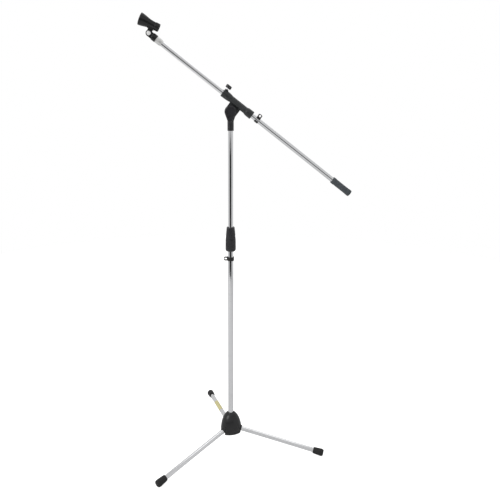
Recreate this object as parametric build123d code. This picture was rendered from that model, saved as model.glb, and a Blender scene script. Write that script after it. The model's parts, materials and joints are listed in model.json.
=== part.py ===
from build123d import *
import os
from math import cos, sin, tan, radians, pi

# A free-standing boom microphone stand. Millimetres, +Z up. The origin is on the floor, on the
# column's axis. +X points to the boom's grip end and -Y is the side that the head's cheek is on.

# ---- driving dimensions ----
# tripod
FOOT_CIRCLE_RADIUS = 340.0
LEG_AZIMUTHS = {"rear": 104.9, "left": 224.9, "right": 344.9}
LEG_SLOPE = 9.9            # below the horizontal, with the tripod open
LEG_APEX_Z = 69.2          # where the three leg axes would meet on the column's axis
LEG_RADIUS = 8.0
LEG_PIN_DISTANCE = 22.0    # hinge pin to column axis
LEG_PIN_RADIUS = 2.5
LEG_INNER_END = -8.0       # along the leg from its hinge pin
FOOT_RADIUS = 12.6
FOOT_LENGTH = 37.0
TUBE_WALL = 1.2
# hub
BELL_BOTTOM_Z = 49.5
BELL_TOP_Z = 122.5
BELL_WALL = 2.6
NOTCH_HALF_WIDTH = 8.7
TUBE_SEAT_Z = 82.0
PLATE_THICKNESS = 3.0
# column
LOWER_RADIUS = 9.5
LOWER_TOP_Z = 775.0
UPPER_RADIUS = 8.0
UPPER_BOTTOM_Z = 430.0
UPPER_TOP_Z = 1158.0
CLUTCH_BOTTOM_Z = 737.0
CLUTCH_TOP_Z = 819.0
CLUTCH_RADIUS = 17.5
CLUTCH_TOP_RADIUS = 13.3
LOWER_CLIP_Z = 710.0
# head
NECK_BOTTOM_Z = 1130.0
NECK_RADIUS = 10.0
PIVOT_Z = 1188.5
CHEEK_RADIUS = 19.0
STUD_RADIUS = 4.0
# boom, in its own frame: x forward along the boom from the pivot, z away from the pivot
BOOM_TILT = 37.35
BOOM_OFFSET = 31.0         # boom axis to pivot
BOOM_RADIUS = 8.0
BOOM_WALL = 1.0
BOOM_FRONT = 290.0
BOOM_REAR = -462.0
SLEEVE_FRONT = 54.0
SLEEVE_REAR = -60.0
SLEEVE_RADIUS = 10.3
COLLAR_RADIUS = 13.0
BUSH_RADIUS = 9.9
THUMB_SCREW_X = 49.0
UPPER_CLIP_X = -81.0
GRIP_LENGTH = 74.0
GRIP_RADIUS = 10.8
# microphone clip
HINGE_X = 329.4
CLIP_SLOPE = 24.6          # its axis above the horizontal, towards its wide end
CLIP_AXIS_HEIGHT = 27.0    # its axis to its hinge
CLIP_NARROW_X = -21.0
CLIP_WIDE_X = 40.0
CLIP_BORE_RADIUS = 10.2
THREAD_RADIUS = 7.94       # 5/8 inch microphone thread

RUNNING_GAP = 0.06         # radial, where one piece turns or slides in another
CLEARANCE = 0.3

LEG_PIN_Z = LEG_APEX_Z - LEG_PIN_DISTANCE * tan(radians(LEG_SLOPE))
LEG_TIP = (FOOT_CIRCLE_RADIUS - LEG_PIN_DISTANCE) / cos(radians(LEG_SLOPE)) + 2.0


# ---- shapes ----
def bar_x(radius, start, end, y=0.0, z=0.0):
    return Pos((start + end) / 2, y, z) * Rot(0, 90, 0) * Cylinder(radius, end - start)


def bar_y(radius, start, end, x=0.0, z=0.0):
    return Pos(x, (start + end) / 2, z) * Rot(90, 0, 0) * Cylinder(radius, end - start)


def bar_z(radius, start, end, x=0.0, y=0.0):
    return Pos(x, y, (start + end) / 2) * Cylinder(radius, end - start)


def block(x, y, z):
    """A box from its low and high coordinate on each axis."""
    centre = Pos((x[0] + x[1]) / 2, (y[0] + y[1]) / 2, (z[0] + z[1]) / 2)
    return centre * Box(x[1] - x[0], y[1] - y[0], z[1] - z[0])


def hex_y(across_flats, start, end, x=0.0, z=0.0):
    """A hexagonal prism along Y."""
    face = RegularPolygon(across_flats / 2, 6, major_radius=False)
    return Pos(x, end, z) * Rot(90, 0, 0) * extrude(face, end - start)


def turned_x(points):
    """A solid of revolution about X, from the (x, radius) corners of its half section."""
    return revolve(make_face(Polyline(*points, close=True)), Axis.X)


def turned_z(points):
    """A solid of revolution about Z, from the (z, radius) corners of its half section."""
    return Rot(0, -90, 0) * turned_x(points)


def smooth_turned_x(outline, base):
    """A solid of revolution about X between a smooth outline of (x, radius) and a (x, radius) base."""
    curve = Spline(*outline)
    return revolve(make_face([curve, Polyline(outline[-1], *base, outline[0])]), Axis.X)


def round_edges(solid, axis, which, radius):
    """Round the circular edges found at the given places when sorted along an axis."""
    edges = solid.edges().filter_by(GeomType.CIRCLE).sort_by(axis)
    return fillet([edges[i] for i in which], radius)


def around_x(solid, count, start=0.0):
    return [Rot(start + 360 / count * i, 0, 0) * solid for i in range(count)]


def around_z(solid, count, start=0.0):
    return [Rot(0, 0, start + 360 / count * i) * solid for i in range(count)]


# ---- frames ----
def leg_frame(azimuth):
    """Origin on the leg's hinge pin, x out along the leg."""
    a, slope = radians(azimuth), radians(LEG_SLOPE)
    origin = (LEG_PIN_DISTANCE * cos(a), LEG_PIN_DISTANCE * sin(a), LEG_PIN_Z)
    out = (cos(a) * cos(slope), sin(a) * cos(slope), -sin(slope))
    up = (cos(a) * sin(slope), sin(a) * sin(slope), cos(slope))
    return Plane(origin=origin, x_dir=out, z_dir=up).location


def tilted_frame(origin, tilt):
    """x to the front and up at the tilt, z up, y towards -Y."""
    t = radians(tilt)
    return Plane(origin=origin, x_dir=(-cos(t), 0, sin(t)), z_dir=(sin(t), 0, cos(t))).location


PIVOT = tilted_frame((0, 0, PIVOT_Z), BOOM_TILT)
BOOM = PIVOT * Pos(0, 0, BOOM_OFFSET)
CLIP = tilted_frame((BOOM * Pos(HINGE_X, 0, 0)).position, CLIP_SLOPE)
LOWER_CLIP = Plane(origin=(0, 0, LOWER_CLIP_Z), x_dir=(0, 0, 1), z_dir=(-1, 0, 0)).location


# ---- tripod hub ----
BELL_PROFILE = [            # height, mean radius, depth of the three lobes
    (BELL_BOTTOM_Z, 38.0, 2.2),
    (62.0, 37.6, 2.1),
    (76.0, 36.2, 1.8),
    (89.0, 33.6, 1.4),
    (101.0, 29.8, 1.0),
    (110.5, 25.0, 0.6),
    (117.5, 19.8, 0.3),
    (BELL_TOP_Z, 14.0, 0.0),
]
SECTION_POINTS = 24


def lobed_section(z, radius, lobe):
    """A closed three-lobed curve, widest over the legs."""
    first = radians(LEG_AZIMUTHS["rear"])
    points = []
    for i in range(SECTION_POINTS):
        a = 2 * pi * i / SECTION_POINTS
        r = radius + lobe * cos(3 * (a - first))
        points.append((r * cos(a), r * sin(a), z))
    return make_face(Spline(*points, periodic=True))


def leg_notch():
    """What a leg needs of the bell's skirt: its own tube, and the way down as it folds."""
    tube = bar_x(NOTCH_HALF_WIDTH, 0, 40)
    way_down = block((0, 40), (-NOTCH_HALF_WIDTH, NOTCH_HALF_WIDTH), (-40, 0))
    return tube + way_down


def hub_bell():
    hood_radius = NOTCH_HALF_WIDTH + 2.4
    hood = bar_x(hood_radius, 4, 19) + block((4, 19), (-hood_radius, hood_radius), (-14, 0))
    inner = [(BELL_BOTTOM_Z - 2.0, 38.0 - BELL_WALL, 2.2)]
    inner += [(z, r - BELL_WALL, lobe) for z, r, lobe in BELL_PROFILE[1:5]]
    inner += [(109.0, 22.5, 0.6)]
    bell = loft([lobed_section(*s) for s in BELL_PROFILE])
    for azimuth in LEG_AZIMUTHS.values():
        bell += leg_frame(azimuth) * hood
    bell -= block((-60, 60), (-60, 60), (0, BELL_BOTTOM_Z))
    bell -= loft([lobed_section(*s) for s in inner])
    for azimuth in LEG_AZIMUTHS.values():
        bell -= leg_frame(azimuth) * leg_notch()
    return bell - bar_z(LOWER_RADIUS + 0.1, 100, 130)


SOCKET_RADIUS = 13.2        # round the column's foot, and the ring that stops the legs
CORE_RADIUS = 7.5
ROOF_RADIUS = 27.0
HUB_BOLT_WAY = 4.3
PILOT_RADIUS = 1.6          # of the base plate's screws
EAR_INNER = 8.7
EAR_OUTER = 12.7
EAR_RADIUS = 6.5
STOP_RING_TOP_Z = 58.4
CARRIER_BOTTOM_Z = 52.7
ROOF_Z = 78.0
POST_RADIUS = 4.0
SCREW_DISTANCE = 22.0


def leg_carrier():
    """The spider inside the hub: a socket for the column, and a pair of ears for each leg."""
    carrier = bar_z(CORE_RADIUS, CARRIER_BOTTOM_Z, ROOF_Z) + bar_z(ROOF_RADIUS, ROOF_Z, TUBE_SEAT_Z)
    carrier += bar_z(SOCKET_RADIUS, TUBE_SEAT_Z, 100)
    for azimuth in LEG_AZIMUTHS.values():
        turn = Rot(0, 0, azimuth)
        for low, high in ((EAR_INNER, EAR_OUTER), (-EAR_OUTER, -EAR_INNER)):
            ear = block((4, LEG_PIN_DISTANCE), (low, high), (LEG_PIN_Z - EAR_RADIUS, ROOF_Z))
            ear += block((20, LEG_PIN_DISTANCE + EAR_RADIUS), (low, high), (LEG_PIN_Z, ROOF_Z))
            ear += bar_y(EAR_RADIUS, low, high, LEG_PIN_DISTANCE, LEG_PIN_Z)
            carrier += turn * ear
        post = bar_z(POST_RADIUS, CARRIER_BOTTOM_Z, ROOF_Z, SCREW_DISTANCE)
        carrier += Rot(0, 0, azimuth + 60) * post
    for azimuth in LEG_AZIMUTHS.values():
        carrier -= Rot(0, 0, azimuth) * bar_y(LEG_PIN_RADIUS + 0.02, -14, 14, LEG_PIN_DISTANCE, LEG_PIN_Z)
        carrier -= Rot(0, 0, azimuth + 60) * bar_z(PILOT_RADIUS, 50, 71, SCREW_DISTANCE)
    carrier -= bar_z(LOWER_RADIUS, TUBE_SEAT_Z, 101)
    return carrier - bar_z(HUB_BOLT_WAY, 50, 83)


def leg_pins():
    pin = bar_y(LEG_PIN_RADIUS, -EAR_OUTER, EAR_OUTER)
    pin += bar_y(3.8, EAR_OUTER, EAR_OUTER + 1.2)
    pin += bar_y(3.8, -EAR_OUTER - 1.2, -EAR_OUTER)
    place = Pos(LEG_PIN_DISTANCE, 0, LEG_PIN_Z)
    return [Rot(0, 0, azimuth) * place * pin for azimuth in LEG_AZIMUTHS.values()]


def hub_base_plate():
    """Closes the bell from below. Its ring holds up the legs' inner ends, which stops the fold."""
    top = CARRIER_BOTTOM_Z
    outline = lobed_section(top - PLATE_THICKNESS, 38.0 - BELL_WALL - CLEARANCE, 2.2)
    plate = extrude(outline, PLATE_THICKNESS)
    plate += bar_z(SOCKET_RADIUS, top, STOP_RING_TOP_Z) - bar_z(10.6, top, STOP_RING_TOP_Z + 1)
    for azimuth in LEG_AZIMUTHS.values():
        slot = block((13.6, 50), (-8.9, 8.9), (45, 60))
        plate -= Rot(0, 0, azimuth) * slot
        plate -= Rot(0, 0, azimuth + 60) * bar_z(1.8, 45, 60, SCREW_DISTANCE)
    return plate - bar_z(HUB_BOLT_WAY, 45, 60)


PLATE_BOTTOM_Z = CARRIER_BOTTOM_Z - PLATE_THICKNESS
WASHER_DROP = 1.6
HEX_HEAD_HEIGHT = 5.3
HUB_BOLT_RADIUS = 4.0


def base_plate_screws():
    screw = bar_z(1.55, PLATE_BOTTOM_Z, 70, SCREW_DISTANCE)
    screw += bar_z(3.4, PLATE_BOTTOM_Z - 2.0, PLATE_BOTTOM_Z, SCREW_DISTANCE)
    screw -= block((SCREW_DISTANCE - 2.4, SCREW_DISTANCE + 2.4), (-0.4, 0.4), (47, 48.7))
    screw -= block((SCREW_DISTANCE - 0.4, SCREW_DISTANCE + 0.4), (-2.4, 2.4), (47, 48.7))
    return [Rot(0, 0, azimuth + 60) * screw for azimuth in LEG_AZIMUTHS.values()]


def hub_washer():
    return bar_z(9.0, PLATE_BOTTOM_Z - WASHER_DROP, PLATE_BOTTOM_Z) - bar_z(HUB_BOLT_WAY, 40, 60)


def hub_bolt():
    under_head = PLATE_BOTTOM_Z - WASHER_DROP
    head = extrude(RegularPolygon(6.5, 6, major_radius=False), HEX_HEAD_HEIGHT)
    return Pos(0, 0, under_head - HEX_HEAD_HEIGHT) * head + bar_z(HUB_BOLT_RADIUS, under_head, 108)


def tube_plug_bottom():
    return bar_z(LOWER_RADIUS - TUBE_WALL, TUBE_SEAT_Z + 0.5, 110) - bar_z(HUB_BOLT_RADIUS, 80, 111)


# ---- legs, in the leg's frame ----
def leg_tube():
    tube = bar_x(LEG_RADIUS, LEG_INNER_END, LEG_TIP - 7)
    tube -= bar_x(LEG_RADIUS - TUBE_WALL, LEG_INNER_END - 1, LEG_TIP)
    return tube - bar_y(LEG_PIN_RADIUS + RUNNING_GAP, -10, 10)


def leg_knuckle():
    """The plug in the leg's inner end, which turns on the hinge pin."""
    plug = bar_x(LEG_RADIUS - TUBE_WALL, LEG_INNER_END, 22)
    return plug - bar_y(LEG_PIN_RADIUS + RUNNING_GAP, -10, 10)


def rubber_foot(azimuth):
    """A barrel-shaped rubber foot, planed flat where it stands."""
    start = LEG_TIP - FOOT_LENGTH
    outline = [
        (start + 2.0, FOOT_RADIUS - 1.6),
        (start + 11, FOOT_RADIUS - 0.8),
        (start + 22, FOOT_RADIUS - 0.1),
        (LEG_TIP - 5, FOOT_RADIUS),
        (LEG_TIP - 1.5, FOOT_RADIUS - 1.3),
    ]
    base = [(LEG_TIP, 8.5), (LEG_TIP, 0), (start, 0), (start, FOOT_RADIUS - 2.2)]
    foot = smooth_turned_x(outline, base)
    groove = bar_x(FOOT_RADIUS + 1, LEG_TIP - 11.8, LEG_TIP - 11) - bar_x(FOOT_RADIUS - 0.7, start, LEG_TIP)
    foot -= groove
    foot -= bar_x(LEG_RADIUS, start - 1, LEG_TIP - 7)
    foot = leg_frame(azimuth) * foot
    return foot - block((-400, 400), (-400, 400), (-20, 0))


LABEL_START = 118.0
LABEL_END = 204.0
LABEL_THICKNESS = 0.15


def leg_label():
    """A plain label stuck over the top of the rear leg."""
    band = bar_x(LEG_RADIUS + LABEL_THICKNESS, LABEL_START, LABEL_END)
    band -= bar_x(LEG_RADIUS, LABEL_START - 1, LABEL_END + 1)
    return band - block((LABEL_START - 1, LABEL_END + 1), (-10, 10), (-10, -3))


# ---- column ----
def tube_z(radius, wall, bottom, top):
    return bar_z(radius, bottom, top) - bar_z(radius - wall, bottom - 1, top + 1)


BODY_RADIUS = 12.0
COLLET_SEAT_Z = 778.0
BODY_TOP_Z = 790.0
COLLET_TOP_Z = 800.0
RING_TOP_Z = 803.4


def clutch_body():
    """The threaded socket pressed on the lower tube. The upper part holds the collet."""
    body = bar_z(BODY_RADIUS, CLUTCH_BOTTOM_Z + 2.5, BODY_TOP_Z)
    body -= bar_z(LOWER_RADIUS, CLUTCH_BOTTOM_Z, LOWER_TOP_Z)
    body -= bar_z(UPPER_RADIUS + CLEARANCE, LOWER_TOP_Z - 1, BODY_TOP_Z + 1)
    return body - bar_z(10.3, COLLET_SEAT_Z, BODY_TOP_Z + 1)


def clutch_collet():
    """A split ring that the clutch squeezes on the upper tube."""
    half_section = [
        (COLLET_SEAT_Z + 0.2, UPPER_RADIUS + RUNNING_GAP),
        (COLLET_SEAT_Z + 0.2, 10.2),
        (BODY_TOP_Z + 1, 10.2),
        (COLLET_TOP_Z, 9.3),
        (COLLET_TOP_Z, UPPER_RADIUS + RUNNING_GAP),
    ]
    slit = block((0, 12), (-0.8, 0.8), (COLLET_SEAT_Z, COLLET_TOP_Z + 1))
    return turned_z(half_section) - Rot(0, 0, 90) * slit


def clutch_ring():
    ring = bar_z(11.0, COLLET_TOP_Z + 0.4, RING_TOP_Z)
    return ring - bar_z(UPPER_RADIUS + CLEARANCE, 790, 810)


TAPER_START_Z = 776.0
FLUTE_RADIUS = 1.5
CLUTCH_FLUTES = 20


def clutch_grip():
    """The twist sleeve of the height clutch: straight below, tapered above, fluted all round."""
    bottom_rim = CLUTCH_RADIUS - 3.6
    outline = [
        (CLUTCH_BOTTOM_Z, 0),
        (CLUTCH_BOTTOM_Z, bottom_rim),
        (CLUTCH_BOTTOM_Z + 1.6, CLUTCH_RADIUS - 1.4),
        (CLUTCH_BOTTOM_Z + 5.0, CLUTCH_RADIUS - 0.2),
        (CLUTCH_BOTTOM_Z + 9.0, CLUTCH_RADIUS),
        (TAPER_START_Z, CLUTCH_RADIUS - 0.3),
        (CLUTCH_TOP_Z - 3.0, CLUTCH_TOP_RADIUS),
        (CLUTCH_TOP_Z - 0.8, CLUTCH_TOP_RADIUS - 0.4),
        (CLUTCH_TOP_Z, CLUTCH_TOP_RADIUS - 1.4),
        (CLUTCH_TOP_Z, 0),
    ]
    grip = turned_z(outline)
    taper = (CLUTCH_TOP_Z - 7 - TAPER_START_Z, CLUTCH_TOP_RADIUS - CLUTCH_RADIUS + 0.8)
    taper_run = (taper[0] ** 2 + taper[1] ** 2) ** 0.5
    lean = -Vector(1, 0, 0).get_angle(Vector(taper[0], taper[1], 0))
    centre_radius = CLUTCH_RADIUS + FLUTE_RADIUS - 1.0
    straight = bar_z(FLUTE_RADIUS, CLUTCH_BOTTOM_Z + 7, TAPER_START_Z, centre_radius)
    bottom_end = Pos(centre_radius, 0, CLUTCH_BOTTOM_Z + 7) * Sphere(FLUTE_RADIUS)
    middle = Pos(centre_radius, 0, TAPER_START_Z)
    sloped = middle * Rot(0, lean, 0) * bar_z(FLUTE_RADIUS, 0, taper_run)
    top_end = middle * Rot(0, lean, 0) * Pos(0, 0, taper_run) * Sphere(FLUTE_RADIUS)
    flute = straight + bottom_end + middle * Sphere(FLUTE_RADIUS) + sloped + top_end
    for cut in around_z(flute, CLUTCH_FLUTES):
        grip -= cut
    grip -= bar_z(BODY_RADIUS + RUNNING_GAP, CLUTCH_BOTTOM_Z - 1, BODY_TOP_Z + 0.6)
    grip -= bar_z(11.3, BODY_TOP_Z, RING_TOP_Z + 0.2)
    return grip - bar_z(UPPER_RADIUS + CLEARANCE, RING_TOP_Z, CLUTCH_TOP_Z + 1)


NECK_SCREW_Z = NECK_BOTTOM_Z + 13


def upper_tube():
    tube = tube_z(UPPER_RADIUS, TUBE_WALL, UPPER_BOTTOM_Z, UPPER_TOP_Z)
    return tube - bar_y(2.0, 0, 10, 0, NECK_SCREW_Z)


def column_bush():
    """The plastic foot of the upper tube: it slides in the lower tube and the upper tube turns on it."""
    bush = bar_z(LOWER_RADIUS - TUBE_WALL - RUNNING_GAP, UPPER_BOTTOM_Z - 14, UPPER_BOTTOM_Z - 0.3)
    bush += bar_z(UPPER_RADIUS - TUBE_WALL - RUNNING_GAP, UPPER_BOTTOM_Z - 1, UPPER_BOTTOM_Z + 25)
    return bush - bar_z(4.5, UPPER_BOTTOM_Z - 15, UPPER_BOTTOM_Z + 26)


LOOP_HALF = 3.2


def cable_clip(tube_radius, loop_reach):
    """A springy band round a tube along x, open towards y, with a cable loop on its z side."""
    band_radius = tube_radius + 1.9
    half_length = 6.5
    reach = band_radius + loop_reach
    loop = block((-half_length, half_length), (-3, 3), (tube_radius + 1, reach))
    loop = fillet(loop.edges().filter_by(Axis.Y).sort_by(Axis.Z)[-2:], 3.5)
    hole = block((-LOOP_HALF, LOOP_HALF), (-4, 4), (band_radius + 1.2, reach - 2.2))
    hole = fillet(hole.edges().filter_by(Axis.Y), 1.5)
    clip = bar_x(band_radius, -half_length, half_length) + loop - hole
    clip -= bar_x(tube_radius + RUNNING_GAP, -half_length - 1, half_length + 1)
    mouth = block((-8, 8), (0, 20), (-4.2, 4.2))
    return clip - mouth


# ---- head ----
HEX_SIZE = 13.0             # across the flats of the stud's head and the handle's nut
CHEEK_FRONT_Y = -11.0
CHEEK_BACK_Y = -1.3
LUG_FACE = 0.1             # the lug's near face, this far behind the middle plane
LUG_THICKNESS = 8.6
LUG_CENTRE_X = -1.25
LUG_HALF_WIDTH = 19.75
LUG_SWEEP_RADIUS = 23.8    # room for the lug over the neck
PANEL_BORDER = 4.2
PANEL_DEPTH = 0.8
WASHER_FRONT_Y = LUG_FACE + LUG_THICKNESS + 0.15
WASHER_THICKNESS = 1.6
HANDLE_Y = WASHER_FRONT_Y + WASHER_THICKNESS + 0.15


def cheek_outline():
    """The spoon: a disc round the pivot that runs down in a rounded tongue on the neck."""
    disc = Pos(0, PIVOT_Z) * Circle(CHEEK_RADIUS)
    tongue_end = Pos(0, PIVOT_Z - 25.4) * Circle(NECK_RADIUS)
    return make_hull(disc.edges() + tongue_end.edges())


def head_neck():
    cheek = extrude(Plane.XZ * cheek_outline(), amount=-CHEEK_FRONT_Y)
    cheek = fillet(cheek.faces().sort_by(Axis.Y)[0].edges(), 3.2)
    cheek -= block((-30, 30), (CHEEK_BACK_Y, 1), (1100, 1300))
    panel = extrude(Plane.XZ * offset(cheek_outline(), -PANEL_BORDER), amount=PANEL_DEPTH + 1)
    cheek -= Pos(0, CHEEK_FRONT_Y + PANEL_DEPTH, 0) * panel
    neck = bar_z(NECK_RADIUS, NECK_BOTTOM_Z, PIVOT_Z - 16)
    sweep_room = bar_y(LUG_SWEEP_RADIUS, CHEEK_BACK_Y, 12, 0, PIVOT_Z)
    neck -= sweep_room
    head = neck + cheek
    head -= bar_z(UPPER_RADIUS, NECK_BOTTOM_Z - 1, UPPER_TOP_Z)
    head -= hex_y(HEX_SIZE, -8.6, -3.2, 0, PIVOT_Z)
    head -= bar_y(STUD_RADIUS, -4, 0, 0, PIVOT_Z)
    return head - bar_y(2.0, 0, 12, 0, NECK_SCREW_Z)


def neck_screw():
    """Fixes the head's neck to the upper tube, from behind."""
    screw = bar_y(2.0, 6.0, NECK_RADIUS) + bar_y(3.5, NECK_RADIUS, NECK_RADIUS + 1.8)
    slot = block((-2.4, 2.4), (NECK_RADIUS + 0.9, NECK_RADIUS + 3), (-0.4, 0.4))
    slot += block((-0.4, 0.4), (NECK_RADIUS + 0.9, NECK_RADIUS + 3), (-2.4, 2.4))
    return Pos(0, 0, NECK_SCREW_Z) * (screw - slot)


def pivot_stud():
    stud = hex_y(HEX_SIZE, -8.6, -3.2, 0, PIVOT_Z)
    return stud + bar_y(STUD_RADIUS, -3.2, 27, 0, PIVOT_Z)


def friction_disc():
    disc = bar_y(15.5, CHEEK_BACK_Y, LUG_FACE - 0.15, 0, PIVOT_Z)
    return disc - bar_y(STUD_RADIUS + RUNNING_GAP, -3, 3, 0, PIVOT_Z)


COLLAR_FLUTES = 14
FRONT_COLLAR_START = 23.0
REAR_COLLAR_START = -36.0
NUT_SIZE = 9.0
NUT_LOW = 10.2              # above the boom's axis
NUT_HIGH = 13.2
BOSS_HIGH = 15.0


def boom_sleeve():
    """The boom's clamping sleeve, in the pivot's frame, with the lug that turns on the stud."""
    outline = [
        (SLEEVE_REAR, COLLAR_RADIUS),
        (SLEEVE_REAR + 20, COLLAR_RADIUS - 0.5),
        (REAR_COLLAR_START + 1, SLEEVE_RADIUS + 0.4),
        (REAR_COLLAR_START + 4, SLEEVE_RADIUS),
        (FRONT_COLLAR_START - 2, SLEEVE_RADIUS),
        (FRONT_COLLAR_START + 4, SLEEVE_RADIUS + 1.2),
        (FRONT_COLLAR_START + 12, COLLAR_RADIUS - 0.7),
        (SLEEVE_FRONT, COLLAR_RADIUS),
    ]
    sleeve = turned_x(outline + [(SLEEVE_FRONT, 0), (SLEEVE_REAR, 0)])
    sleeve = round_edges(sleeve, Axis.X, (0, -1), 1.2)
    flute_depth = COLLAR_RADIUS + 0.6
    for start, end in ((FRONT_COLLAR_START + 8, SLEEVE_FRONT - 4), (SLEEVE_REAR + 3, REAR_COLLAR_START - 3)):
        flute = bar_x(1.3, start, end, z=flute_depth)
        for cut in around_x(flute, COLLAR_FLUTES, 13):
            sleeve -= cut
    boss = block((THUMB_SCREW_X - 6.5, SLEEVE_FRONT - 0.6), (-6.0, 6.0), (0, BOSS_HIGH))
    sleeve += fillet(boss.edges().filter_by(Axis.Z), 2.5)
    middle = (REAR_COLLAR_START + 5, FRONT_COLLAR_START - 3)
    for rib in around_x(bar_x(0.8, *middle, z=SLEEVE_RADIUS - 0.2), 10, 18):
        sleeve += rib
    lug_y = (-LUG_FACE - LUG_THICKNESS, -LUG_FACE)
    lug_x = (LUG_CENTRE_X - LUG_HALF_WIDTH, LUG_CENTRE_X + LUG_HALF_WIDTH)
    lug = block(lug_x, lug_y, (0, BOOM_OFFSET - 2)) + bar_y(LUG_HALF_WIDTH, *lug_y, LUG_CENTRE_X)
    sleeve = Pos(0, 0, BOOM_OFFSET) * sleeve + lug
    bore = bar_x(BOOM_RADIUS + 0.7, SLEEVE_REAR - 1, SLEEVE_FRONT + 1)
    bore += bar_x(BUSH_RADIUS, SLEEVE_REAR + 4, SLEEVE_REAR + 20)
    bore += bar_x(BUSH_RADIUS, SLEEVE_FRONT - 28, SLEEVE_FRONT - 12)
    half = NUT_SIZE / 2
    nut_slot = block((THUMB_SCREW_X - half, SLEEVE_FRONT + 1), (-half - 0.1, half + 0.1), (NUT_LOW, NUT_HIGH))
    screw_way = bar_z(3.2, NUT_HIGH - 1, BOSS_HIGH + 1, THUMB_SCREW_X)
    pad_way = bar_z(4.2, 5, NUT_LOW + 0.1, THUMB_SCREW_X)
    sleeve -= Pos(0, 0, BOOM_OFFSET) * (bore + nut_slot + screw_way + pad_way)
    return sleeve - bar_y(STUD_RADIUS + RUNNING_GAP, -20, 20)


def sleeve_bush(start):
    """A nylon bush round the boom, in the boom's frame."""
    bush = bar_x(BUSH_RADIUS - RUNNING_GAP, start + 0.2, start + 15.8)
    return bush - bar_x(BOOM_RADIUS + RUNNING_GAP, start, start + 16)


def thumb_nut():
    half = NUT_SIZE / 2
    nut = block((THUMB_SCREW_X - half, THUMB_SCREW_X + half), (-half, half), (NUT_LOW, NUT_HIGH))
    return nut - bar_z(3.0 + RUNNING_GAP, 5, 15, THUMB_SCREW_X)


PAD_LOW = BOOM_RADIUS + 0.1
PAD_HIGH = NUT_LOW - 0.7


def pressure_pad():
    return bar_z(3.9, PAD_LOW, PAD_HIGH, THUMB_SCREW_X)


KNOB_LOW = 18.6
KNOB_HIGH = 29.4
KNOB_RADIUS = 9.4


def thumb_stud():
    return bar_z(3.0, PAD_HIGH + 0.1, KNOB_HIGH - 3, THUMB_SCREW_X)


def thumb_knob():
    outline = [
        (KNOB_LOW, 0),
        (KNOB_LOW, KNOB_RADIUS - 1.2),
        (KNOB_LOW + 1.2, KNOB_RADIUS),
        (KNOB_HIGH - 1.8, KNOB_RADIUS),
        (KNOB_HIGH, KNOB_RADIUS - 2.0),
        (KNOB_HIGH, 0),
    ]
    knob = turned_z(outline)
    for cut in around_z(bar_z(1.4, KNOB_LOW - 1, KNOB_HIGH + 1, KNOB_RADIUS + 0.5), 14):
        knob -= cut
    knob -= bar_z(3.0, KNOB_LOW - 1, KNOB_HIGH - 3)
    return Pos(THUMB_SCREW_X, 0, 0) * knob


def pivot_washer():
    washer = bar_y(10.0, WASHER_FRONT_Y, WASHER_FRONT_Y + WASHER_THICKNESS, 0, PIVOT_Z)
    return washer - bar_y(STUD_RADIUS + RUNNING_GAP, 0, 20, 0, PIVOT_Z)


HANDLE_LEAN = 8.0
HANDLE_REACH = 23.0
HANDLE_DEPTH = 18.0


def tilt_handle():
    """The T-handle behind the head: a round boss with two tapered arms."""
    boss = bar_y(8.6, HANDLE_Y, HANDLE_Y + HANDLE_DEPTH)
    arm_y = HANDLE_Y + HANDLE_DEPTH - 5.4
    arm = Pos(0, arm_y, 0) * Cone(5.4, 4.4, HANDLE_REACH - 4.4, align=(Align.CENTER, Align.CENTER, Align.MIN))
    arm += Pos(0, arm_y, HANDLE_REACH - 4.4) * Sphere(4.4)
    boss = round_edges(boss, Axis.Y, (-1,), 2.0)
    handle = boss + arm + Rot(0, 180, 0) * arm
    handle -= bar_y(STUD_RADIUS + 0.3, 0, HANDLE_Y + HANDLE_DEPTH - 1.5)
    handle -= hex_y(HEX_SIZE, HANDLE_Y + 2, HANDLE_Y + 9)
    handle -= bar_y(6.0, HANDLE_Y - 1, HANDLE_Y + 2.1)
    return Pos(0, 0, PIVOT_Z) * Rot(0, HANDLE_LEAN, 0) * handle


def handle_nut():
    nut = hex_y(HEX_SIZE, HANDLE_Y + 2, HANDLE_Y + 9)
    nut = Rot(0, HANDLE_LEAN, 0) * (nut - bar_y(STUD_RADIUS + RUNNING_GAP, 0, 40))
    return Pos(0, 0, PIVOT_Z) * nut


# ---- boom, in the boom's frame ----
def boom_tube():
    tube = bar_x(BOOM_RADIUS, BOOM_REAR, BOOM_FRONT)
    return tube - bar_x(BOOM_RADIUS - BOOM_WALL, BOOM_REAR - 1, BOOM_FRONT + 1)


COLLAR_END_X = 303.0


def boom_tip_adaptor():
    """The plated collar on the boom's front end, with the microphone thread."""
    collar = turned_x([
        (BOOM_FRONT - 8, 0),
        (BOOM_FRONT - 8, BOOM_RADIUS + 0.8),
        (BOOM_FRONT - 1, BOOM_RADIUS + 1.9),
        (BOOM_FRONT + 2, BOOM_RADIUS + 2.2),
        (COLLAR_END_X - 0.8, BOOM_RADIUS + 2.2),
        (COLLAR_END_X, BOOM_RADIUS + 1.4),
        (COLLAR_END_X, THREAD_RADIUS),
        (COLLAR_END_X + 10.2, THREAD_RADIUS),
        (COLLAR_END_X + 11, THREAD_RADIUS - 0.8),
        (COLLAR_END_X + 11, 0),
    ])
    collar -= bar_x(BOOM_RADIUS, BOOM_FRONT - 9, BOOM_FRONT)
    return collar + bar_x(BOOM_RADIUS - BOOM_WALL, BOOM_FRONT - 22, BOOM_FRONT)


GRIP_FRONT = BOOM_REAR + GRIP_LENGTH - 1.5
GRIP_END = BOOM_REAR - 2.5


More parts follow.
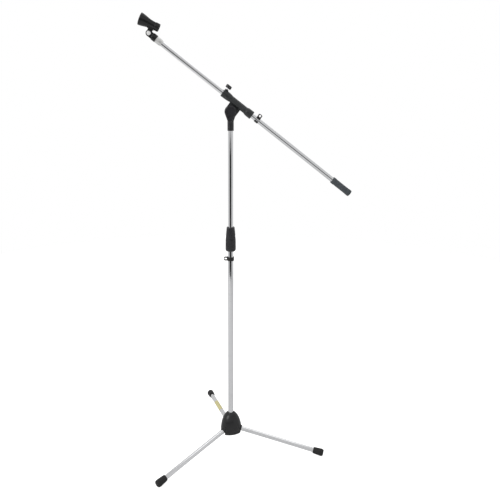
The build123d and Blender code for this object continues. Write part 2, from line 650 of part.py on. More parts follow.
def boom_grip():
    """The rubber grip on the boom's rear end: a plain middle between two slightly wider bands."""
    band = 12.0
    grip = turned_x([
        (GRIP_END, 0),
        (GRIP_END, GRIP_RADIUS - 1.6),
        (GRIP_END + 0.6, GRIP_RADIUS - 0.5),
        (GRIP_END + 1.8, GRIP_RADIUS),
        (GRIP_END + band, GRIP_RADIUS),
        (GRIP_END + band, GRIP_RADIUS - 0.5),
        (GRIP_FRONT - band, GRIP_RADIUS - 0.5),
        (GRIP_FRONT - band, GRIP_RADIUS),
        (GRIP_FRONT - 1.2, GRIP_RADIUS),
        (GRIP_FRONT, GRIP_RADIUS - 1.0),
        (GRIP_FRONT, 0),
    ])
    return grip - bar_x(BOOM_RADIUS, BOOM_REAR, GRIP_FRONT + 1)


def boom_end_plug():
    return bar_x(BOOM_RADIUS - BOOM_WALL, BOOM_REAR + 0.3, BOOM_REAR + 14)


# ---- microphone clip ----
BASE_START = COLLAR_END_X + 0.2
BASE_END = 317.5
BASE_RADIUS = 11.0
FORK_RADIUS = 9.2
TONGUE_HALF = 3.0
FORK_OUTER = 8.0
INSERT_RADIUS = 9.5


def clip_base():
    """The clip's foot, in the boom's frame: screwed on the adaptor, with a fork for the hinge."""
    base = turned_x([
        (BASE_START, 0),
        (BASE_START, BASE_RADIUS - 0.8),
        (BASE_START + 0.8, BASE_RADIUS),
        (BASE_END - 2, BASE_RADIUS),
        (BASE_END, BASE_RADIUS - 1.5),
        (BASE_END, 0),
    ])
    ear = bar_y(FORK_RADIUS, -FORK_OUTER, FORK_OUTER, HINGE_X)
    ear += block((BASE_END - 1, HINGE_X), (-FORK_OUTER, FORK_OUTER), (-FORK_RADIUS, FORK_RADIUS))
    base += ear
    gap = TONGUE_HALF + CLEARANCE
    base -= block((BASE_END, HINGE_X + 12), (-gap, gap), (-12, 12))
    base -= bar_x(INSERT_RADIUS, BASE_START - 1, BASE_START + 11.5)
    base -= bar_y(6.5, FORK_OUTER - 1.4, FORK_OUTER + 1, HINGE_X)
    base -= hex_y(8.0, -FORK_OUTER - 1, -FORK_OUTER + 3.2, HINGE_X)
    return base - bar_y(2.5, -10, 10, HINGE_X)


def clip_thread_insert():
    insert = bar_x(INSERT_RADIUS, BASE_START + 0.8, BASE_START + 11.5)
    return insert - bar_x(THREAD_RADIUS, BASE_START - 1, BASE_START + 12)


def clip_bolt():
    """The hinge's bolt, with a domed head in front."""
    head = turned_x([(6.6, 0), (6.6, 6.3), (8.6, 6.3), (9.8, 5.4), (10.4, 3.6), (10.6, 0)])
    bolt = Rot(0, 0, 90) * head + bar_y(2.5, -8.6, 6.6)
    return Pos(HINGE_X, 0, 0) * bolt


def clip_nut():
    nut = hex_y(8.0, -FORK_OUTER - 0.8, -FORK_OUTER + 3.2, HINGE_X)
    return nut - bar_y(2.5, -12, 0, HINGE_X)


def clip_body():
    """The microphone holder, in the clip's frame: a flared split sleeve on a tongue."""
    outline = [
        (-9.0, 12.2),
        (0, 12.5),
        (10, 13.5),
        (20, 15.7),
        (30, 17.9),
        (CLIP_WIDE_X, 18.9),
    ]
    lip = [(CLIP_WIDE_X, 0), (CLIP_NARROW_X, 0), (CLIP_NARROW_X, 12.4), (-20.2, 13.0), (-10, 13.0)]
    body = smooth_turned_x(outline, lip)
    bore = turned_x([
        (CLIP_NARROW_X - 1, 0),
        (CLIP_NARROW_X - 1, CLIP_BORE_RADIUS),
        (0, CLIP_BORE_RADIUS),
        (20, 12.7),
        (CLIP_WIDE_X + 1, 16.6),
        (CLIP_WIDE_X + 1, 0),
    ])
    slot = block((CLIP_NARROW_X - 1, CLIP_WIDE_X + 1), (-7.0, 7.0), (0, 25))
    stem = block((-6.5, 8.0), (-TONGUE_HALF, TONGUE_HALF), (0, CLIP_AXIS_HEIGHT - 6))
    stem += block((-8.0, 11.0), (-7.0, 7.0), (12.0, CLIP_AXIS_HEIGHT - 6))
    stem += bar_y(FORK_RADIUS - 0.6, -TONGUE_HALF, TONGUE_HALF)
    body = Pos(0, 0, CLIP_AXIS_HEIGHT) * body + stem
    body -= Pos(0, 0, CLIP_AXIS_HEIGHT) * (bore + slot)
    return body - bar_y(2.5 + RUNNING_GAP, -10, 10)


# ---- assembly ----
def all_parts():
    parts = {
        "hub_bell": hub_bell(),
        "leg_carrier": leg_carrier(),
        "hub_base_plate": hub_base_plate(),
        "base_plate_screws": base_plate_screws(),
        "hub_bolt": hub_bolt(),
        "hub_washer": hub_washer(),
        "leg_pins": leg_pins(),
        "tube_plug_bottom": tube_plug_bottom(),
        "lower_tube": tube_z(LOWER_RADIUS, TUBE_WALL, TUBE_SEAT_Z, LOWER_TOP_Z),
        "leg_label": leg_frame(LEG_AZIMUTHS["rear"]) * leg_label(),
        "cable_clip_lower": LOWER_CLIP * cable_clip(LOWER_RADIUS, 11.0),
        "clutch_body": clutch_body(),
        "clutch_collet": clutch_collet(),
        "clutch_ring": clutch_ring(),
        "clutch_grip": clutch_grip(),
        "column_bush": column_bush(),
        "upper_tube": upper_tube(),
        "head_neck": head_neck(),
        "neck_screw": neck_screw(),
        "pivot_stud": pivot_stud(),
        "friction_disc": friction_disc(),
        "boom_sleeve": PIVOT * boom_sleeve(),
        "sleeve_bush_front": BOOM * sleeve_bush(SLEEVE_FRONT - 28),
        "sleeve_bush_rear": BOOM * sleeve_bush(SLEEVE_REAR + 4),
        "thumb_nut": BOOM * thumb_nut(),
        "pressure_pad": BOOM * pressure_pad(),
        "thumb_stud": BOOM * thumb_stud(),
        "thumb_knob": BOOM * thumb_knob(),
        "pivot_washer": pivot_washer(),
        "tilt_handle": tilt_handle(),
        "handle_nut": handle_nut(),
        "boom_tube": BOOM * boom_tube(),
        "boom_tip_adaptor": BOOM * boom_tip_adaptor(),
        "boom_grip": BOOM * boom_grip(),
        "boom_end_plug": BOOM * boom_end_plug(),
        "cable_clip_upper": BOOM * Pos(UPPER_CLIP_X, 0, 0) * cable_clip(BOOM_RADIUS, 10.0),
        "clip_base": BOOM * clip_base(),
        "clip_thread_insert": BOOM * clip_thread_insert(),
        "clip_bolt": BOOM * clip_bolt(),
        "clip_nut": BOOM * clip_nut(),
        "clip_body": CLIP * clip_body(),
    }
    for name, azimuth in LEG_AZIMUTHS.items():
        parts["leg_tube_" + name] = leg_frame(azimuth) * leg_tube()
        parts["leg_knuckle_" + name] = leg_frame(azimuth) * leg_knuckle()
        parts["rubber_foot_" + name] = rubber_foot(azimuth)
    return parts


def main():
    os.makedirs("parts", exist_ok=True)
    for name, shape in all_parts().items():
        solids = shape if isinstance(shape, list) else shape.solids()
        whole = solids[0] if len(solids) == 1 else Compound(children=list(solids))
        export_step(whole, os.path.join("parts", name + ".step"))


main()
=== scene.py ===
import json
from math import cos, pi, radians, sin, tan

import bpy
from mathutils import Matrix, Vector


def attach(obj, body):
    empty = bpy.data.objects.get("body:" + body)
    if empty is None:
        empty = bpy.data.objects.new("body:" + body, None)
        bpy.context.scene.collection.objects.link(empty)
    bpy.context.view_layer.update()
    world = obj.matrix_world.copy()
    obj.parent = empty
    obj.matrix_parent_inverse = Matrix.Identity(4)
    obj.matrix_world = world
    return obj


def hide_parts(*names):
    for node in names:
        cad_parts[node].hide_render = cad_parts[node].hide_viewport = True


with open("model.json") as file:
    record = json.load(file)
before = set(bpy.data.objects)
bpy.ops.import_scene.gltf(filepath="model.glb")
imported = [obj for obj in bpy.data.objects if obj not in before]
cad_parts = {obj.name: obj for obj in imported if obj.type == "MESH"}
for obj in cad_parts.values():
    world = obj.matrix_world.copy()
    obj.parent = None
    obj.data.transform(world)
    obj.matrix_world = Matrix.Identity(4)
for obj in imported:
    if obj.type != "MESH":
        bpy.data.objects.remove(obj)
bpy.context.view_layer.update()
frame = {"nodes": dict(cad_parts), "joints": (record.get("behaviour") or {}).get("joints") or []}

# The looks of a boom microphone stand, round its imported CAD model. Metres, +Z up, the floor at 0.
# Shapes are drawn in millimetres in a local frame of their own and scaled as they are made.

MM = 0.001
NODES = frame["nodes"]

# ---- driving dimensions, in degrees and millimetres ----
LEG_SLOPE = 9.9
COLUMN_WALL = 1.2
LEG_WALL = 1.2
BOOM_WALL = 1.0
RIM_RADIUS = 0.35
SEGMENTS = 96              # round a turned piece
ARC_STEPS = 4              # along a rounded corner
SHARP_ANGLE = 32.0         # edges turned more than this stay sharp

# ---- camera ----
CAMERA_PLACE = Vector((0.0, -1.7709, 1.257))
CAMERA_PITCH = radians(16.276)
CAMERA_YAW = radians(2.087)
CAMERA_ROLL = radians(0.548)
FOCAL_SHARE = 1.10426      # focal length over the picture's width
SENSOR = 36.0


def make_camera():
    camera = bpy.data.objects.new("camera", bpy.data.cameras.new("camera"))
    bpy.context.scene.collection.objects.link(camera)
    camera.data.sensor_width = SENSOR
    camera.data.lens = SENSOR * FOCAL_SHARE
    forward = Vector((
        sin(CAMERA_YAW) * cos(CAMERA_PITCH), cos(CAMERA_YAW) * cos(CAMERA_PITCH), -sin(CAMERA_PITCH),
    ))
    level = Vector((cos(CAMERA_YAW), -sin(CAMERA_YAW), 0))
    above = level.cross(forward)
    right = level * cos(CAMERA_ROLL) + above * sin(CAMERA_ROLL)
    up = above * cos(CAMERA_ROLL) - level * sin(CAMERA_ROLL)
    turn = Matrix((right, up, -forward)).transposed()
    camera.matrix_world = Matrix.Translation(CAMERA_PLACE) @ turn.to_4x4()
    bpy.context.scene.camera = camera


# ---- shader helpers ----
RUBBED_LIFT = 0.008        # added to a worn or dusty colour


class Shader:
    """One node tree, with a short way to add nodes and join them."""

    def __init__(self, tree):
        self.tree = tree

    def add(self, kind, inputs=None, **settings):
        node = self.tree.nodes.new("ShaderNode" + kind)
        for name, value in settings.items():
            setattr(node, name, value)
        for name, value in (inputs or {}).items():
            self.set(node.inputs[name], value)
        return node

    def set(self, socket, value):
        if isinstance(value, bpy.types.NodeSocket):
            self.tree.links.new(value, socket)
        else:
            socket.default_value = value

    def math(self, operation, *values, clamp=False):
        node = self.add("Math", operation=operation, use_clamp=clamp)
        for socket, value in zip(node.inputs, values):
            self.set(socket, value)
        return node.outputs[0]

    def span(self, value, low, high, out_low=0.0, out_high=1.0):
        """value from low to high, eased, as out_low to out_high."""
        inputs = {"Value": value, "From Min": low, "From Max": high, "To Min": out_low, "To Max": out_high}
        return self.add("MapRange", inputs, interpolation_type="SMOOTHSTEP").outputs["Result"]

    def mix(self, share, first, second):
        """The first colour where share is 0, and the second where it is 1."""
        node = self.add("Mix", data_type="RGBA")
        self.set(node.inputs[0], share)
        self.set(node.inputs[6], first)
        self.set(node.inputs[7], second)
        return node.outputs[2]

    def noise(self, where, scale, detail=3.0, roughness=0.5, distortion=0.0):
        inputs = {
            "Vector": where, "Scale": scale, "Detail": detail,
            "Roughness": roughness, "Distortion": distortion,
        }
        return self.add("TexNoise", inputs).outputs["Fac"]

    def cells(self, where, scale):
        """The rounded cells of an eroded mould."""
        inputs = {"Vector": where, "Scale": scale}
        return self.add("TexVoronoi", inputs, feature="SMOOTH_F1").outputs["Distance"]

    def stretched(self, where, scale):
        return self.add("Mapping", {"Vector": where, "Scale": scale}).outputs["Vector"]


def grey(value):
    return (value, value, value, 1.0)


def shaded(colour, share):
    """The colour times share, with alpha."""
    return (*[c * share for c in colour], 1.0)


def rubbed(colour, share):
    """A dark colour made lighter, as where it is worn or dusty."""
    return (*[min(1.0, c * share + RUBBED_LIFT) for c in colour], 1.0)


def new_material(name, colour, roughness, metallic=0.0):
    """A material, its tree's helper, its shader and the piece's own coordinates."""
    material = bpy.data.materials.new(name)
    material.use_nodes = True
    shader = Shader(material.node_tree)
    surface = material.node_tree.nodes["Principled BSDF"]
    surface.inputs["Base Color"].default_value = (*colour, 1.0)
    surface.inputs["Roughness"].default_value = roughness
    surface.inputs["Metallic"].default_value = metallic
    where = shader.add("TexCoord").outputs["Object"]
    return material, shader, surface, where


def bumped(shader, surface, height, strength, distance):
    bump = shader.add("Bump", {"Height": height, "Strength": strength, "Distance": distance})
    shader.set(surface.inputs["Normal"], bump.outputs["Normal"])


def worn_edges(shader):
    """0 on flats and 1 on outer edges."""
    return shader.span(shader.add("NewGeometry").outputs["Pointiness"], 0.52, 0.62)


# ---- materials ----
ALONG_X = (40.0, 1800.0, 1800.0)
ROUND_X = (2600.0, 60.0, 60.0)


def chrome_material(name, colour, roughness):
    """Polished chrome: faint polishing lines along x, smudges, and a few hairline scratches round it."""
    material, s, surface, where = new_material(name, colour, roughness, 1.0)
    lines = s.noise(s.stretched(where, ALONG_X), 1.0, 2.0)
    smudge = s.noise(where, 28.0, 4.0, 0.62)
    scratch = s.noise(s.stretched(where, ROUND_X), 1.0, 2.0)
    cut = s.math("MULTIPLY", s.span(scratch, 0.69, 0.74), s.span(s.noise(where, 9.0, 2.0), 0.52, 0.66))
    dull = s.math("MULTIPLY_ADD", s.span(smudge, 0.45, 0.8), 0.10, roughness)
    dull = s.math("MULTIPLY_ADD", lines, 0.03, dull)
    s.set(surface.inputs["Roughness"], s.math("MULTIPLY_ADD", cut, 0.15, dull))
    shade = s.mix(s.span(smudge, 0.5, 0.85), (*colour, 1.0), shaded(colour, 0.93))
    s.set(surface.inputs["Base Color"], shade)
    height = s.math("SUBTRACT", s.math("MULTIPLY", lines, 0.2), s.math("MULTIPLY", cut, 0.8))
    bumped(s, surface, height, 0.10, 0.00004)
    return material


def steel_material():
    """Zinc-plated steel: an uneven polish, a fine grain and a faint spangle."""
    colour = (0.60, 0.60, 0.61)
    material, s, surface, where = new_material("zinc_steel", colour, 0.3, 1.0)
    spangle = s.add("TexVoronoi", {"Vector": where, "Scale": 900.0}).outputs["Distance"]
    grain = s.noise(where, 1600.0, 2.0)
    stain = s.noise(where, 160.0, 4.0)
    dull = s.span(stain, 0.3, 0.8, 0.2, 0.36)
    s.set(surface.inputs["Roughness"], s.math("MULTIPLY_ADD", grain, 0.18, dull))
    shade = s.mix(s.span(stain, 0.45, 0.8), (*colour, 1.0), shaded(colour, 0.78))
    s.set(surface.inputs["Base Color"], shade)
    bumped(s, surface, s.math("ADD", spangle, grain), 0.12, 0.00008)
    return material


def satin_material(name, colour, metallic):
    """Pale satin plating, brushed across z, with a faint haze."""
    material, s, surface, where = new_material(name, colour, 0.42, metallic)
    brushed = s.noise(s.stretched(where, (400.0, 400.0, 1900.0)), 1.0, 3.0)
    haze = s.noise(where, 130.0, 4.0)
    shade = s.mix(s.span(haze, 0.5, 0.8), (*colour, 1.0), shaded(colour, 0.9))
    s.set(surface.inputs["Base Color"], shade)
    s.set(surface.inputs["Roughness"], s.math("MULTIPLY_ADD", brushed, 0.12, 0.38))
    bumped(s, surface, brushed, 0.05, 0.00003)
    return material


def brass_material():
    """Turned brass: fine rings and a patchy tarnish."""
    material, s, surface, where = new_material("turned_brass", (0.76, 0.57, 0.27), 0.25, 1.0)
    rings = s.noise(s.stretched(where, (300.0, 2600.0, 300.0)), 1.0, 2.0)
    tarnish = s.noise(where, 120.0, 4.0)
    s.set(surface.inputs["Roughness"], s.math("MULTIPLY_ADD", rings, 0.2, 0.16))
    shade = s.mix(s.span(tarnish, 0.4, 0.8), (0.78, 0.60, 0.29, 1), (0.50, 0.34, 0.15, 1))
    s.set(surface.inputs["Base Color"], shade)
    bumped(s, surface, rings, 0.15, 0.00008)
    return material


MOULD_GRAIN = 1500.0


def plastic_material(name, colour, roughness, depth=0.22):
    """Moulded black plastic: a fine eroded grain, handling marks, and edges polished by use."""
    material, s, surface, where = new_material(name, colour, roughness, 0.0)
    surface.inputs["Specular IOR Level"].default_value = 0.5
    cells = s.cells(where, MOULD_GRAIN)
    fine = s.noise(where, MOULD_GRAIN * 1.7, 2.0)
    cloud = s.noise(where, 55.0, 4.0, 0.6)
    scuff = s.noise(s.stretched(where, (90.0, 90.0, 700.0)), 1.0, 3.0, 0.6)
    edge = worn_edges(s)
    scuffed = s.math("MULTIPLY", s.span(scuff, 0.6, 0.72), s.span(cloud, 0.5, 0.68))
    share = s.math("ADD", s.math("MULTIPLY", edge, 0.5), s.math("MULTIPLY", scuffed, 0.5), clamp=True)
    tone = s.mix(s.span(cloud, 0.3, 0.75), shaded(colour, 0.82), shaded(colour, 1.15))
    s.set(surface.inputs["Base Color"], s.mix(share, tone, rubbed(colour, 1.9)))
    rough = s.math("MULTIPLY_ADD", s.span(cloud, 0.3, 0.8), 0.12, roughness - 0.05)
    rough = s.math("MULTIPLY_ADD", edge, -0.12, rough)
    s.set(surface.inputs["Roughness"], s.math("MULTIPLY_ADD", scuffed, 0.15, rough, clamp=True))
    bumped(s, surface, s.math("MULTIPLY_ADD", fine, 0.5, cells), depth, 0.00012)
    return material


RUBBER_GRAIN = 1100.0


def rubber_material(name, colour, roughness):
    """Moulded rubber: open grain, a patchy dusty bloom and rubbed edges."""
    material, s, surface, where = new_material(name, colour, roughness, 0.0)
    surface.inputs["Sheen Weight"].default_value = 0.04
    surface.inputs["Sheen Roughness"].default_value = 0.5
    surface.inputs["Specular IOR Level"].default_value = 0.3
    cells = s.cells(where, RUBBER_GRAIN)
    fine = s.noise(where, 2400.0, 2.0)
    bloom = s.noise(where, 70.0, 5.0, 0.65)
    edge = worn_edges(s)
    dusty = rubbed(colour, 1.5)
    tone = s.mix(s.span(bloom, 0.48, 0.78), (*colour, 1.0), dusty)
    s.set(surface.inputs["Base Color"], s.mix(s.math("MULTIPLY", edge, 0.5), tone, dusty))
    s.set(surface.inputs["Roughness"], s.span(bloom, 0.3, 0.8, roughness - 0.12, roughness + 0.12))
    bumped(s, surface, s.math("MULTIPLY_ADD", fine, 0.6, cells), 0.3, 0.00015)
    return material


def nylon_material():
    """Natural nylon, waxy and slightly uneven."""
    material, s, surface, where = new_material("natural_nylon", (0.74, 0.72, 0.66), 0.42)
    surface.inputs["Subsurface Weight"].default_value = 0.15
    surface.inputs["Subsurface Radius"].default_value = (0.004, 0.003, 0.002)
    cloud = s.noise(where, 90.0, 4.0)
    s.set(surface.inputs["Base Color"], s.mix(cloud, (0.70, 0.67, 0.60, 1), (0.80, 0.78, 0.72, 1)))
    s.set(surface.inputs["Roughness"], s.span(cloud, 0.3, 0.7, 0.34, 0.5))
    bumped(s, surface, s.noise(where, 1800.0, 2.0), 0.15, 0.0001)
    return material


def alloy_material():
    """Die-cast alloy as it leaves the die."""
    material, s, surface, where = new_material("cast_alloy", (0.5, 0.5, 0.51), 0.45, 1.0)
    flow = s.noise(where, 140.0, 5.0, 0.6, 1.2)
    pits = s.add("TexVoronoi", {"Vector": where, "Scale": 1300.0}).outputs["Distance"]
    s.set(surface.inputs["Base Color"], s.mix(flow, grey(0.40), grey(0.56)))
    s.set(surface.inputs["Roughness"], s.span(flow, 0.3, 0.7, 0.36, 0.56))
    bumped(s, surface, s.math("ADD", flow, pits), 0.25, 0.00012)
    return material


LABEL_RED_SHARE = 0.22     # of the label's length, at the hub's side
LABEL_BORDER = 0.0012      # in metres, as are the two widths below, over which one colour becomes another
RED_TO_YELLOW = 0.0004     # half the width
BORDER_TO_BODY = 0.0002


def label_material(low, high):
    """Plain yellow film with a reddish end and a thin pale margin, and a faint ripple over its surface."""
    material, s, surface, where = new_material("label_film", (0.74, 0.56, 0.05), 0.55)
    surface.inputs["Specular IOR Level"].default_value = 0.05
    x = s.add("SeparateXYZ", {"Vector": where}).outputs["X"]
    change = low + (high - low) * LABEL_RED_SHARE
    fade = s.noise(where, 220.0, 4.0)
    yellow = s.mix(s.span(fade, 0.35, 0.75), (0.76, 0.58, 0.04, 1), (0.68, 0.52, 0.06, 1))
    red = s.mix(fade, (0.58, 0.17, 0.09, 1), (0.66, 0.24, 0.13, 1))
    body = s.mix(s.span(x, change - RED_TO_YELLOW, change + RED_TO_YELLOW), red, yellow)
    inside = s.math("MULTIPLY", s.span(x, low + LABEL_BORDER - BORDER_TO_BODY, low + LABEL_BORDER),
                    s.span(x, high - LABEL_BORDER + BORDER_TO_BODY, high - LABEL_BORDER))
    s.set(surface.inputs["Base Color"], s.mix(inside, (0.74, 0.68, 0.36, 1), body))
    s.set(surface.inputs["Roughness"], s.span(fade, 0.3, 0.8, 0.46, 0.58))
    bumped(s, surface, s.noise(s.stretched(where, (60.0, 400.0, 400.0)), 1.0, 3.0), 0.25, 0.0001)
    return material


# ---- mesh helpers ----
def rounded(outline):
    """The closed outline's points, where each (x, y, radius) corner becomes an arc."""
    made = []
    for i, (x, y, radius) in enumerate(outline):
        corner = Vector((x, y))
        before = Vector(outline[i - 1][:2]) - corner
        after = Vector(outline[(i + 1) % len(outline)][:2]) - corner
        half = before.angle(after) / 2
        if radius <= 0 or half > radians(89):
            made.append(corner)
            continue
        reach = min(radius / tan(half), 0.48 * before.length, 0.48 * after.length)
        middle = (before.normalized() + after.normalized()).normalized()
        centre = corner + middle * (reach / cos(half))
        start = corner + before.normalized() * reach - centre
        end = corner + after.normalized() * reach - centre
        sweep = start.angle(end)
        for k in range(ARC_STEPS + 1):
            t = k / ARC_STEPS
            arm = start * sin((1 - t) * sweep) + end * sin(t * sweep)
            made.append(centre + arm / sin(sweep))
    return made


def new_piece(name, vertices, faces, place, material, body, slot, node):
    """A mesh drawn in millimetres in a local frame, riding on a CAD body and standing for a CAD node."""
    mesh = bpy.data.meshes.new(name)
    mesh.from_pydata([Vector(v) * MM for v in vertices], [], faces)
    mesh.validate()
    mesh.shade_smooth()
    mesh.set_sharp_from_angle(angle=radians(SHARP_ANGLE))
    mesh.materials.append(material)
    piece = bpy.data.objects.new(name, mesh)
    bpy.context.scene.collection.objects.link(piece)
    piece.matrix_world = place
    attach(piece, body)
    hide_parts(node)


def turned(outline):
    """Vertices and faces of a closed outline of (x, radius) points turned about x."""
    vertices, faces = [], []
    for x, radius in outline:
        for k in range(SEGMENTS):
            angle = 2 * pi * k / SEGMENTS
            vertices.append((x, radius * cos(angle), radius * sin(angle)))
    rings = len(outline)
    for i in range(rings):
        j = (i + 1) % rings
        for k in range(SEGMENTS):
            n = (k + 1) % SEGMENTS
            faces.append((i * SEGMENTS + k, j * SEGMENTS + k, j * SEGMENTS + n, i * SEGMENTS + n))
    return vertices, faces


def extent(node, place):
    """Lowest and highest corner of a CAD node in a local frame, in millimetres."""
    inverse = place.inverted()
    points = [inverse @ v.co for v in NODES[node].data.vertices]
    return [Vector([pick(p[i] for p in points) for i in range(3)]) / MM for pick in (min, max)]


def place_from(origin, x_axis, y_axis):
    """A local frame from its origin, its x axis and roughly its y axis."""
    x = Vector(x_axis).normalized()
    z = x.cross(Vector(y_axis)).normalized()
    y = z.cross(x)
    turn = Matrix((x, y, z)).transposed().to_4x4()
    return Matrix.Translation(Vector(origin)) @ turn


# ---- local frames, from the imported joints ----
JOINTS = {j["name"]: j for j in frame["joints"]}
COLUMN = place_from((0, 0, 0), (0, 0, 1), (1, 0, 0))


def leg_place(name):
    """x out along the leg from its hinge pin."""
    joint = JOINTS["leg_fold_" + name]
    pin, axis = Vector(joint["pos_m"]), Vector(joint["axis"])
    outward = axis.cross(Vector((0, 0, 1)))
    along = outward * cos(radians(LEG_SLOPE)) - Vector((0, 0, sin(radians(LEG_SLOPE))))
    return place_from(pin, along, axis)


BOOM = place_from(JOINTS["boom_turn"]["pos_m"], JOINTS["boom_turn"]["axis"], (0, -1, 0))


# ---- CAD nodes that keep their shape ----
def finish_node(node, material):
    """A better material on a CAD node."""
    mesh = NODES[node].data
    mesh.materials.clear()
    mesh.materials.append(material)


def soften_node(node, material, voxel, rounds=2):
    """A CAD node with its moulded edges rounded, in voxels of so many millimetres and so many rounds."""
    finish_node(node, material)
    remesh = NODES[node].modifiers.new("skin", "REMESH")
    remesh.mode = "VOXEL"
    remesh.voxel_size = voxel * MM
    remesh.use_smooth_shade = True
    smooth = NODES[node].modifiers.new("soft edges", "SMOOTH")
    smooth.factor = 0.5
    smooth.iterations = rounds


# ---- new pieces ----
def make_tube(name, node, place, wall, material, body):
    """A drawn tube with its rims rolled smooth. Its length and radius are the CAD node's."""
    low, high = extent(node, place)
    r = high.y
    corners = [(low.x, r), (low.x, r - wall), (high.x, r - wall), (high.x, r)]
    outline = rounded([(*corner, RIM_RADIUS) for corner in corners])
    new_piece(name, *turned(outline), place, material, body, "chrome_tube", node)


def main():
    make_camera()
    make_studio()
    make_object()


# ---- studio ----
ROOM_LEVEL = 0.64
CEILING_LEVEL = 0.60
CEILING = (0.3, 0.75)              # upward part of a direction, where the room fades into the ceiling
DARK_LEVEL = 0.03
DARK_LEFT = (-58, -42)             # azimuths where the dark patch fades in, 0 being the camera's side
DARK_RIGHT = (42, 28)
DARK_BELOW = (0.14, 0.03)          # upward part of a direction, where the dark patch fades in
FLOOR_RADIUS = 3.0
FLOOR_SIDES = 128
FLOOR_COLOUR = 0.77
FLOOR_GLOW = 0.85
LAMP_AIM = Vector((0, 0, 0.8))
LAMP_SIDE = 1.8
LAMPS = [                          # name, azimuth, height, distance, watts
    ("key_softbox", -52, 2.6, 3.0, 36),
    ("top_softbox", 150, 3.0, 1.2, 8),
]


def make_world():
    """White for the camera, and for everything else a soft grey room with a dark patch low on one side."""
    world = bpy.data.worlds.new("studio")
    bpy.context.scene.world = world
    world.use_nodes = True
    s = Shader(world.node_tree)
    background = world.node_tree.nodes["Background"]
    split = s.add("SeparateXYZ", {"Vector": s.add("TexCoord").outputs["Generated"]})
    x, y, z = split.outputs
    azimuth = s.math("ARCTAN2", x, s.math("MULTIPLY", y, -1.0))
    room = s.span(z, *CEILING, ROOM_LEVEL, CEILING_LEVEL)
    left = s.span(azimuth, *map(radians, DARK_LEFT))
    right = s.span(azimuth, *map(radians, DARK_RIGHT))
    below = s.span(z, *DARK_BELOW)
    dark = s.math("MULTIPLY", s.math("MULTIPLY", left, right), below)
    level = s.add("Mix", {0: dark, 2: room, 3: DARK_LEVEL}).outputs[0]
    eye = s.add("LightPath").outputs["Is Camera Ray"]
    s.set(background.inputs["Color"], s.mix(eye, level, grey(1.0)))


def make_floor():
    """A pale disc. The camera sees it as bright as the background, and chrome sees it greyer."""
    angles = [2 * pi * k / FLOOR_SIDES for k in range(FLOOR_SIDES)]
    vertices = [(FLOOR_RADIUS * cos(a), FLOOR_RADIUS * sin(a), 0) for a in angles]
    mesh = bpy.data.meshes.new("floor")
    mesh.from_pydata(vertices, [], [list(range(FLOOR_SIDES))])
    floor = bpy.data.objects.new("floor", mesh)
    bpy.context.scene.collection.objects.link(floor)
    material = bpy.data.materials.new("paper_floor")
    material.use_nodes = True
    s = Shader(material.node_tree)
    paper = s.add("BsdfDiffuse", {"Color": grey(FLOOR_COLOUR)})
    glow = s.add("Emission", {"Color": grey(1.0), "Strength": FLOOR_GLOW})
    both = s.add("AddShader")
    s.set(both.inputs[0], paper.outputs[0])
    s.set(both.inputs[1], glow.outputs[0])
    shown = s.add("MixShader", {"Fac": s.add("LightPath").outputs["Is Camera Ray"]})
    s.set(shown.inputs[1], paper.outputs[0])
    s.set(shown.inputs[2], both.outputs[0])
    output = material.node_tree.nodes["Material Output"]
    s.set(output.inputs["Surface"], shown.outputs[0])
    mesh.materials.append(material)


def make_lamp(name, azimuth, height, distance, power):
    """A square soft light that faces the stand. Azimuth 0 is the camera's side, and 90 is +X."""
    light = bpy.data.lights.new(name, "AREA")
    light.shape = "RECTANGLE"
    light.size = light.size_y = LAMP_SIDE
    light.energy = power
    lamp = bpy.data.objects.new(name, light)
    bpy.context.scene.collection.objects.link(lamp)
    a = radians(azimuth)
    lamp.location = (distance * sin(a), -distance * cos(a), height)
    aim = LAMP_AIM - lamp.location
    lamp.rotation_mode = "QUATERNION"
    lamp.rotation_quaternion = aim.to_track_quat("-Z", "Y")


def make_studio():
    bpy.context.scene.view_settings.view_transform = "Standard"
    bpy.context.scene.view_settings.look = "None"
    make_world()
    make_floor()
    for lamp in LAMPS:
        make_lamp(*lamp)


# ---- the object ----
CHROME = (0.86, 0.865, 0.88)
PLATED = (0.80, 0.80, 0.81)
TIP_SATIN = (0.80, 0.80, 0.79)
BOLT_ZINC = (0.97, 0.97, 0.96)
HUB_BLACK = (0.010, 0.0103, 0.0115)
HEAD_BLACK = (0.026, 0.0258, 0.0295)
SLEEVE_BLACK = (0.033, 0.036, 0.0375)
CLIP_BLACK = (0.0062, 0.0066, 0.0075)
BAND_BLACK = (0.010, 0.010, 0.011)
FOOT_BLACK = (0.019, 0.019, 0.0195)
GRIP_GREY = (0.078, 0.089, 0.099)

STEEL_NODES = [
    "base_plate_screws", "hub_bolt", "hub_washer", "leg_pins", "pivot_stud", "thumb_nut",
    "handle_nut", "clip_nut", "neck_screw", "pivot_washer", "clutch_ring",
]
NYLON_NODES = [
    "clutch_collet", "column_bush", "friction_disc", "sleeve_bush_front", "sleeve_bush_rear",
    "pressure_pad", "tube_plug_bottom", "leg_knuckle_rear", "leg_knuckle_left", "leg_knuckle_right",
]


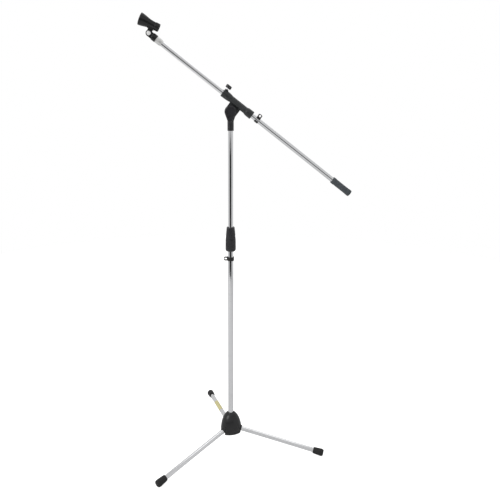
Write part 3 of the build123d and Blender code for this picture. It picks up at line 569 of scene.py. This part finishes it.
def make_object():
    chrome = chrome_material("chrome_tube", CHROME, 0.07)
    plated = chrome_material("plated_steel", PLATED, 0.14)
    steel = steel_material()
    nylon = nylon_material()
    hub_plastic = plastic_material("hub_plastic", HUB_BLACK, 0.32)
    head_plastic = plastic_material("head_plastic", HEAD_BLACK, 0.30)
    sleeve_plastic = plastic_material("sleeve_plastic", SLEEVE_BLACK, 0.34)
    clip_plastic = plastic_material("clip_plastic", CLIP_BLACK, 0.34)
    band_plastic = plastic_material("band_plastic", BAND_BLACK, 0.32, depth=0.12)
    foot_rubber = rubber_material("foot_rubber", FOOT_BLACK, 0.66)
    grip_rubber = rubber_material("grip_rubber", GRIP_GREY, 0.6)
    for node in STEEL_NODES:
        finish_node(node, steel)
    for node in NYLON_NODES:
        finish_node(node, nylon)
    finish_node("thumb_stud", plated)
    finish_node("boom_tip_adaptor", satin_material("satin_plating", TIP_SATIN, 0.7))
    finish_node("clip_bolt", satin_material("bright_zinc", BOLT_ZINC, 0.15))
    finish_node("clip_thread_insert", brass_material())
    finish_node("leg_carrier", alloy_material())
    finish_node("clutch_body", head_plastic)
    finish_node("boom_end_plug", band_plastic)
    soften_node("hub_bell", hub_plastic, 0.55, 3)
    soften_node("hub_base_plate", hub_plastic, 0.55, 3)
    soften_node("clutch_grip", head_plastic, 0.4)
    soften_node("head_neck", head_plastic, 0.4, 3)
    soften_node("tilt_handle", head_plastic, 0.4, 3)
    soften_node("thumb_knob", head_plastic, 0.3)
    soften_node("boom_sleeve", sleeve_plastic, 0.4)
    for node in ("clip_base", "clip_body"):
        soften_node(node, clip_plastic, 0.35)
    for node in ("cable_clip_lower", "cable_clip_upper"):
        soften_node(node, band_plastic, 0.25)
    soften_node("boom_grip", grip_rubber, 0.35)
    make_tube("lower_tube_drawn", "lower_tube", COLUMN, COLUMN_WALL, chrome, "tripod_hub")
    make_tube("upper_tube_drawn", "upper_tube", COLUMN, COLUMN_WALL, chrome, "column")
    make_tube("boom_tube_drawn", "boom_tube", BOOM, BOOM_WALL, chrome, "boom")
    for name in ("rear", "left", "right"):
        place = leg_place(name)
        make_tube("leg_tube_drawn_" + name, "leg_tube_" + name, place, LEG_WALL, chrome, "leg_" + name)
        soften_node("rubber_foot_" + name, foot_rubber, 0.35)
    low, high = extent("leg_label", leg_place("rear"))
    finish_node("leg_label", label_material(low.x * MM, high.x * MM))


main()
